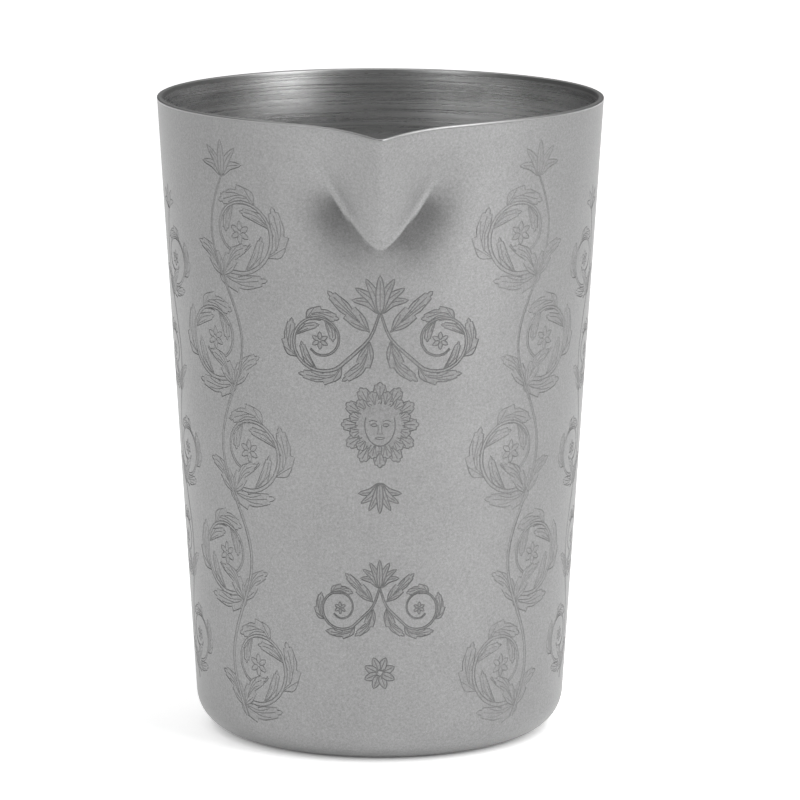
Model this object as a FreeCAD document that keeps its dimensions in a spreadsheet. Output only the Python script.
"""A double-wall steel mixing vessel with a pressed pouring spout.

Frame: Z up along the vessel's axis, origin at the centre of the flat base, the spout towards -Y.
Lengths are in millimetres. Every size comes from the spreadsheet called dims.
"""

import FreeCAD, Part
import math
import os

import Sketcher

FULL_TURN = 360

DIMENSIONS = {
    "height": 136.5,  # base to rim
    "rim_radius": 47.5,  # outside of the wall at the rim
    "base_radius": 39.15,  # the same wall carried down to the base plane
    "corner_radius": 8.0,  # outside, where wall turns into base
    "sheet": 0.55,  # thickness of both drawn shells
    "rim_gap": 0.05,  # between the shells, at the rim
    "floor_gap": 2.2,  # between the shells, at the liner's floor
    "liner_floor": 5.0,  # underside of the liner above the base plane
    "liner_corner_radius": 6.5,
    "lip_depth": 0.6,  # how deep the weld bites at the rim
    "lip_round": 0.25,
    "spout_drop": 25.8,  # apex of the spout below the rim
    "spout_reach": 10.3,  # tip beyond the wall, at the rim
    "spout_half_width": 16.0,  # at the rim
    "spout_flare": 0.66,  # power by which the spout widens upwards
    "spout_dip": 1.9,  # tip below the rim
    "spout_bury": 1.0,  # how far the spout's wedge runs into the wall
    "keel_radius": 2.0,  # outside of the spout's front edge, at the rim
    "least_round": 0.25,
    "tip_gain": 0.15,  # extra share of thickness at the front edge
    "plate_hole_radius": 27.0,
    "plate_joggle": 0.6,  # seam left between plate and shell
    "plate_flange": 3.6,
    "bond_film": 0.2,
    "weight_radius": 25.4,
    "weight_thick": 3.4,
    "weight_chamfer": 0.5,
    "vent_radius": 1.2,
    "vent_offset": 14.0,
    "recess": 0.05,  # seam and plug sit this far above the base plane
}

# Heights of the spout's sections, as shares of the way from its apex to the rim.
SPOUT_STATIONS = (0.01, 0.3, 0.65, 1.0)

document = FreeCAD.newDocument("mixing_vessel")


def make_sheet():
    sheet = document.addObject("Spreadsheet::Sheet", "dims")
    for row, (alias, value) in enumerate(DIMENSIONS.items(), start=1):
        sheet.set(f"A{row}", alias)
        sheet.set(f"B{row}", str(value))
        sheet.setAlias(f"B{row}", alias)
    document.recompute()
    return sheet


def value_of(expression):
    """The number that an expression on the sheet stands for."""
    found = sheet.evalExpression(str(expression))
    return float(getattr(found, "Value", found))


def bind(feature, **expressions):
    for name, expression in expressions.items():
        feature.setExpression(name, expression)


# ---- radii of the four nested wall surfaces, as expressions on the sheet ----


def wall(z, inset="0"):
    """Radius at height z of the outside wall, drawn in by inset."""
    slope = "(dims.rim_radius - dims.base_radius) / dims.height"
    return f"(dims.base_radius + ({z}) * {slope} - ({inset}))"


def liner_inset(z):
    """How far inside the outside wall the liner's own outside lies at height z."""
    fall = f"(dims.height - ({z})) / (dims.height - dims.liner_floor)"
    return f"(dims.sheet + dims.rim_gap + (dims.floor_gap - dims.rim_gap) * {fall})"


INSETS = {
    "shell_outside": lambda z: "0",
    "shell_inside": lambda z: "dims.sheet",
    "liner_outside": liner_inset,
    "liner_inside": lambda z: f"({liner_inset(z)} + dims.sheet)",
}

APEX = "(dims.height - dims.spout_drop)"
EDGE_TOP = "(dims.height - dims.lip_depth)"
LINER_FLOOR = "(dims.liner_floor + dims.sheet)"
LIP_BOTTOM = "(dims.height - dims.lip_depth - dims.spout_dip - 1)"


# ---- sketches ----


def plane_of(body, role):
    return next(f for f in body.Origin.OriginFeatures if f.Role == role)


def new_sketch(body, name, role, z=None):
    """A sketch on one of its body's origin planes, raised to height z on the XY plane."""
    sketch = body.newObject("Sketcher::SketchObject", name)
    sketch.AttachmentSupport = (plane_of(body, role), [""])
    sketch.MapMode = "FlatFace"
    if z is not None:
        sketch.AttachmentOffset = FreeCAD.Placement(
            FreeCAD.Vector(0, 0, value_of(z)), FreeCAD.Rotation()
        )
        sketch.setExpression("AttachmentOffset.Base.z", z)
    return sketch


def hold(sketch, kind, *place, expression):
    """Adds a dimension and binds it to the sheet."""
    index = sketch.addConstraint(Sketcher.Constraint(kind, *place, value_of(expression)))
    sketch.setExpression(f"Constraints[{index}]", expression)


def outline(body, name, role, corners):
    """A closed polygon whose corners are pairs of expressions."""
    sketch = new_sketch(body, name, role)
    points = [FreeCAD.Vector(value_of(x), value_of(y), 0) for x, y in corners]
    count = len(points)
    for i in range(count):
        sketch.addGeometry(Part.LineSegment(points[i], points[(i + 1) % count]))
    for i, (x, y) in enumerate(corners):
        sketch.addConstraint(Sketcher.Constraint("Coincident", i, 1, (i - 1) % count, 2))
        for kind, expression in (("DistanceX", x), ("DistanceY", y)):
            hold(sketch, kind, -1, 1, i, 1, expression=expression)
    return sketch


def cup_profile(body, name, low, high, inset, corner):
    """Half of a tapered cup's section on the XZ plane, its bottom corner rounded."""
    slope = f"(({wall(high, inset(high))} - {wall(low, inset(low))}) / ({high} - {low}))"
    stretch = f"sqrt(1 + {slope}^2)"
    centre_z = f"({low} + {corner})"
    centre_x = f"({wall(centre_z, inset(centre_z))} - {corner} * {stretch})"
    sketch = new_sketch(body, name, "XZ_Plane")
    z0, z1, r, x, z = (value_of(e) for e in (low, high, corner, centre_x, centre_z))
    m, k = value_of(slope), value_of(stretch)
    foot = FreeCAD.Vector(0, z0, 0)
    turn = FreeCAD.Vector(x, z0, 0)
    touch = FreeCAD.Vector(x + r / k, z - r * m / k, 0)
    brim = FreeCAD.Vector(value_of(wall(high, inset(high))), z1, 0)
    head = FreeCAD.Vector(0, z1, 0)
    circle = Part.Circle(FreeCAD.Vector(x, z, 0), FreeCAD.Vector(0, 0, 1), r)
    sketch.addGeometry(Part.LineSegment(foot, turn))
    sketch.addGeometry(Part.ArcOfCircle(circle, -math.pi / 2, -math.atan(m)))
    sketch.addGeometry(Part.LineSegment(touch, brim))
    sketch.addGeometry(Part.LineSegment(brim, head))
    sketch.addGeometry(Part.LineSegment(head, foot))
    bottom, bend, side, top, axis = range(5)
    for place in (
        ("Tangent", bottom, 2, bend, 1),
        ("Tangent", bend, 2, side, 1),
        ("Coincident", side, 2, top, 1),
        ("Coincident", top, 2, axis, 1),
        ("Coincident", axis, 2, bottom, 1),
        ("Horizontal", bottom),
        ("Horizontal", top),
        ("PointOnObject", bottom, 1, -2),
        ("PointOnObject", top, 2, -2),
    ):
        sketch.addConstraint(Sketcher.Constraint(*place))
    hold(sketch, "DistanceY", -1, 1, bottom, 1, expression=low)
    hold(sketch, "Radius", bend, expression=corner)
    hold(sketch, "DistanceX", -1, 1, bend, 3, expression=centre_x)
    hold(sketch, "DistanceX", -1, 1, top, 1, expression=wall(high, inset(high)))
    hold(sketch, "DistanceY", -1, 1, top, 1, expression=high)
    return sketch


def ring(body, name, radius, y="0"):
    """A circle on the XY plane, y along the Y axis."""
    sketch = new_sketch(body, name, "XY_Plane")
    centre = FreeCAD.Vector(0, value_of(y), 0)
    sketch.addGeometry(Part.Circle(centre, FreeCAD.Vector(0, 0, 1), value_of(radius)))
    sketch.addConstraint(Sketcher.Constraint("PointOnObject", 0, 3, -2))
    hold(sketch, "DistanceY", -1, 1, 0, 3, expression=y)
    hold(sketch, "Radius", 0, expression=radius)
    return sketch


def spout_section(body, name, station, inset):
    """One level of the spout: a triangle with a rounded tip, its back corners inside the wall."""
    z = f"({APEX} + {station} * dims.spout_drop)"
    radius = wall(z, inset(z))
    half = f"(dims.spout_half_width * {station}^dims.spout_flare + 0.5)"
    back = f"sqrt(({radius} - dims.spout_bury)^2 - {half}^2)"
    nose = f"max(dims.least_round; dims.keel_radius * (0.25 + 0.75 * {station}) - {inset(z)})"
    centre = f"({radius} + dims.spout_reach * {station} - dims.tip_gain * {inset(z)} - {nose})"

    sketch = new_sketch(body, name, "XY_Plane", z)
    w, b, r, c = (value_of(e) for e in (half, back, nose, centre))
    # Where the flanks touch the nose: tangents from the back corners to the nose circle.
    span = math.hypot(w, c - b)
    lean = math.atan2(c - b, w) + math.asin(r / span)
    touch = FreeCAD.Vector(r * math.sin(lean), -(c + r * math.cos(lean)), 0)
    right = FreeCAD.Vector(w, -b, 0)
    left = FreeCAD.Vector(-w, -b, 0)
    middle = FreeCAD.Vector(0, -c, 0)
    circle = Part.Circle(middle, FreeCAD.Vector(0, 0, 1), r)
    start = math.atan2(touch.y + c, -touch.x)
    end = math.atan2(touch.y + c, touch.x)
    sketch.addGeometry(Part.LineSegment(left, right))
    sketch.addGeometry(Part.LineSegment(right, touch))
    sketch.addGeometry(Part.ArcOfCircle(circle, start, end))
    sketch.addGeometry(Part.LineSegment(FreeCAD.Vector(-touch.x, touch.y, 0), left))
    chord, flank, nose_arc, far_flank = range(4)
    for place in (
        ("Coincident", chord, 2, flank, 1),
        ("Coincident", far_flank, 2, chord, 1),
        ("Tangent", flank, 2, nose_arc, 2),
        ("Tangent", nose_arc, 1, far_flank, 1),
        ("PointOnObject", nose_arc, 3, -2),
        ("Symmetric", chord, 1, chord, 2, -2),
    ):
        sketch.addConstraint(Sketcher.Constraint(*place))
    hold(sketch, "Radius", nose_arc, expression=nose)
    hold(sketch, "DistanceY", nose_arc, 3, -1, 1, expression=centre)
    hold(sketch, "DistanceX", -1, 1, chord, 2, expression=half)
    hold(sketch, "DistanceY", chord, 2, -1, 1, expression=back)
    return sketch


# ---- features ----


def spin(body, kind, name, sketch):
    feature = body.newObject(kind, name)
    feature.Profile = sketch
    feature.ReferenceAxis = (sketch, ["V_Axis"])
    feature.Angle = FULL_TURN
    document.recompute()
    return feature


def spout(body, kind, name, surface):
    """Lofts the spout's wedge for one of the nested surfaces, up to the rim."""
    sections = [
        spout_section(body, f"{name}_section_{i}", station, INSETS[surface])
        for i, station in enumerate(SPOUT_STATIONS)
    ]
    feature = body.newObject(kind, name)
    feature.Profile = sections[0]
    feature.Sections = sections[1:]
    feature.Ruled = False
    document.recompute()
    return feature


def pocket(body, name, sketch, depth, reverse=False):
    before = body.Shape.Volume
    feature = body.newObject("PartDesign::Pocket", name)
    feature.Profile = sketch
    feature.setExpression("Length", depth)
    feature.Reversed = reverse
    document.recompute()
    if not body.Shape.Volume < before - 1e-6:
        raise RuntimeError(f"{name} cut nothing")
    return feature


def circles_at(shape, height, least):
    """Names of the round edges that lie at a height and are at least so wide."""
    return [
        f"Edge{i}"
        for i, edge in enumerate(shape.Edges, start=1)
        if isinstance(edge.Curve, Part.Circle)
        and abs(edge.BoundBox.ZMin - height) < 1e-4
        and edge.BoundBox.ZLength < 1e-4
        and edge.Curve.Radius > least
    ]


def lip_edges(shape):
    """Names of the long edges along the top of the lip, outside and inside."""
    top = value_of("dims.height")
    dip = value_of("dims.spout_dip")
    half = value_of("dims.spout_half_width")
    names = []
    for i, edge in enumerate(shape.Edges, start=1):
        middle = edge.valueAt((edge.FirstParameter + edge.LastParameter) / 2)
        share = max(0, 1 - abs(middle.x) / half) if middle.y < 0 else 0
        if abs(middle.z - (top - dip * share)) < 0.02 and edge.Length > 0.3:
            names.append(f"Edge{i}")
    return names


def round_off(body, name, edges, radius):
    below = body.Tip
    feature = body.newObject("PartDesign::Fillet", name)
    feature.Base = (below, edges)
    feature.setExpression("Radius", radius)
    document.recompute()
    return feature


def bevel(body, name, edges, size):
    below = body.Tip
    feature = body.newObject("PartDesign::Chamfer", name)
    feature.Base = (below, edges)
    feature.setExpression("Size", size)
    document.recompute()
    return feature


def new_body(label):
    body = document.addObject("PartDesign::Body", label)
    body.Label = label
    return body


def trim_above(body, level):
    """Lets the rim sink towards the spout's tip, on the spout's side only."""
    half = "dims.spout_half_width"
    wide = "(dims.spout_half_width + 4)"
    sketch = outline(
        body,
        f"{body.Label}_dip",
        "XZ_Plane",
        [
            (f"-{wide}", level),
            (f"-{half}", level),
            ("0", f"{level} - dims.spout_dip"),
            (half, level),
            (wide, level),
            (wide, f"{level} + 2"),
            (f"-{wide}", f"{level} + 2"),
        ],
    )
    pocket(body, f"{body.Label}_rim_dip", sketch, "dims.rim_radius + 30", reverse=True)


def cone_profile(body, name, low, high, inset):
    """Half of a tapered plug's section on the XZ plane."""
    return outline(
        body,
        name,
        "XZ_Plane",
        [
            ("0", low),
            (wall(low, inset(low)), low),
            (wall(high, inset(high)), high),
            ("0", high),
        ],
    )


def cup(label, outside, inside, low, high, floor, corner):
    """A spouted cup between two of the nested surfaces, its floor as thick as its wall."""
    body = new_body(label)
    outer = cup_profile(body, f"{label}_outer_profile", low, high, INSETS[outside], corner)
    spin(body, "PartDesign::Revolution", f"{label}_blank", outer)
    spout(body, "PartDesign::AdditiveLoft", f"{label}_spout", outside)
    inner = cup_profile(
        body,
        f"{label}_inner_profile",
        floor,
        f"({high} + 2)",
        INSETS[inside],
        f"({corner} - dims.sheet)",
    )
    spin(body, "PartDesign::Groove", f"{label}_hollow", inner)
    spout(body, "PartDesign::SubtractiveLoft", f"{label}_spout_channel", inside)
    return body


# ---- the pieces ----


def make_outer_shell():
    body = cup(
        "outer_shell",
        "shell_outside",
        "shell_inside",
        low="0",
        high=EDGE_TOP,
        floor="dims.sheet",
        corner="dims.corner_radius",
    )
    hole = ring(body, "base_opening", "dims.plate_hole_radius")
    pocket(body, "base_hole", hole, "dims.sheet", reverse=True)
    trim_above(body, EDGE_TOP)
    return body


def make_inner_liner():
    body = cup(
        "inner_liner",
        "liner_outside",
        "liner_inside",
        low="dims.liner_floor",
        high=EDGE_TOP,
        floor=LINER_FLOOR,
        corner="dims.liner_corner_radius",
    )
    trim_above(body, EDGE_TOP)
    return body


def make_rim_weld():
    """The ground weld bead that joins both shells and forms the lip."""
    body = new_body("rim_weld")
    outer = cone_profile(
        body, "rim_outer_profile", LIP_BOTTOM, "dims.height", INSETS["shell_outside"]
    )
    spin(body, "PartDesign::Revolution", "rim_blank", outer)
    spout(body, "PartDesign::AdditiveLoft", "rim_spout", "shell_outside")
    inner = cone_profile(
        body,
        "rim_inner_profile",
        f"({LIP_BOTTOM} - 1)",
        "(dims.height + 1)",
        INSETS["liner_inside"],
    )
    spin(body, "PartDesign::Groove", "rim_hollow", inner)
    spout(body, "PartDesign::SubtractiveLoft", "rim_spout_channel", "liner_inside")
    trim_above(body, "dims.height")
    half = "dims.spout_half_width"
    reach = "(dims.rim_radius + 5)"
    low = f"({LIP_BOTTOM} - dims.spout_drop)"
    under_front = outline(
        body,
        "under_lip_front",
        "XZ_Plane",
        [
            (f"-{reach}", low),
            (reach, low),
            (reach, EDGE_TOP),
            (half, EDGE_TOP),
            ("0", f"{EDGE_TOP} - dims.spout_dip"),
            (f"-{half}", EDGE_TOP),
            (f"-{reach}", EDGE_TOP),
        ],
    )
    pocket(body, "below_lip_front", under_front, "dims.rim_radius + 30", reverse=True)
    under_back = outline(
        body,
        "under_lip_back",
        "XZ_Plane",
        [(f"-{reach}", low), (reach, low), (reach, EDGE_TOP), (f"-{reach}", EDGE_TOP)],
    )
    pocket(body, "below_lip_back", under_back, "dims.rim_radius + 30")
    round_off(body, "lip_rounding", lip_edges(body.Shape), "dims.lip_round")
    return body


def make_base_plate():
    """A dished disc that closes the outer shell: its flange lies on the shell's floor ring."""
    body = new_body("base_plate")
    dish = "(dims.plate_hole_radius - dims.plate_joggle)"
    flange_inner = f"({dish} - dims.sheet)"
    flange_outer = f"({dish} + dims.plate_flange)"
    profile = outline(
        body,
        "base_plate_profile",
        "XZ_Plane",
        [
            ("0", "0"),
            (dish, "0"),
            (dish, "dims.sheet"),
            (flange_outer, "dims.sheet"),
            (flange_outer, "2 * dims.sheet"),
            (flange_inner, "2 * dims.sheet"),
            (flange_inner, "dims.sheet"),
            ("0", "dims.sheet"),
        ],
    )
    spin(body, "PartDesign::Revolution", "base_plate_disc", profile)
    vent = ring(body, "vent_outline", "dims.vent_radius", "dims.vent_offset")
    pocket(body, "vent_hole", vent, "dims.sheet", reverse=True)
    return body


def make_base_weld():
    body = new_body("base_weld")
    inner = "(dims.plate_hole_radius - dims.plate_joggle)"
    profile = outline(
        body,
        "base_weld_profile",
        "XZ_Plane",
        [
            (inner, "dims.recess"),
            ("dims.plate_hole_radius", "dims.recess"),
            ("dims.plate_hole_radius", "dims.sheet"),
            (inner, "dims.sheet"),
        ],
    )
    spin(body, "PartDesign::Revolution", "base_weld_bead", profile)
    return body


def make_base_weight():
    body = new_body("base_weight")
    bottom = "(dims.sheet + dims.bond_film)"
    profile = outline(
        body,
        "base_weight_profile",
        "XZ_Plane",
        [
            ("0", bottom),
            ("dims.weight_radius", bottom),
            ("dims.weight_radius", f"{bottom} + dims.weight_thick"),
            ("0", f"{bottom} + dims.weight_thick"),
        ],
    )
    spin(body, "PartDesign::Revolution", "base_weight_disc", profile)
    edges = circles_at(
        body.Shape, value_of(f"{bottom} + dims.weight_thick"), value_of("dims.vent_offset")
    )
    bevel(body, "base_weight_bevel", edges, "dims.weight_chamfer")
    return body


def make_disc(label, radius, thick, z, y="0"):
    disc = document.addObject("Part::Cylinder", label)
    disc.Label = label
    bind(disc, Radius=radius, Height=thick)
    disc.setExpression(".Placement.Base.y", y)
    disc.setExpression(".Placement.Base.z", z)
    document.recompute()
    return disc


sheet = make_sheet()
pieces = [
    make_outer_shell(),
    make_inner_liner(),
    make_rim_weld(),
    make_base_plate(),
    make_base_weld(),
    make_base_weight(),
    make_disc("weight_bond", "dims.weight_radius - 1", "dims.bond_film", "dims.sheet"),
    make_disc(
        "vent_plug",
        "dims.vent_radius",
        "dims.sheet - dims.recess",
        "dims.recess",
        y="dims.vent_offset",
    ),
]
document.recompute()

for thing in document.Objects:
    if {"Invalid", "Error"} & set(thing.State):
        raise RuntimeError(f"{thing.Label} failed: {thing.State}")
for piece in pieces:
    if piece.Shape.isNull() or not piece.Shape.isValid():
        raise RuntimeError(f"{piece.Label} has no valid shape")

os.makedirs("parts", exist_ok=True)
for piece in pieces:
    piece.Shape.exportStep(f"parts/{piece.Label}.step")
    box = piece.Shape.BoundBox
    print(
        f"{piece.Label}: {len(piece.Shape.Solids)} solid, {piece.Shape.Volume:.1f} mm3,"
        f" {box.XLength:.2f} x {box.YLength:.2f} x {box.ZLength:.2f}, z {box.ZMin:.2f} to {box.ZMax:.2f}"
    )
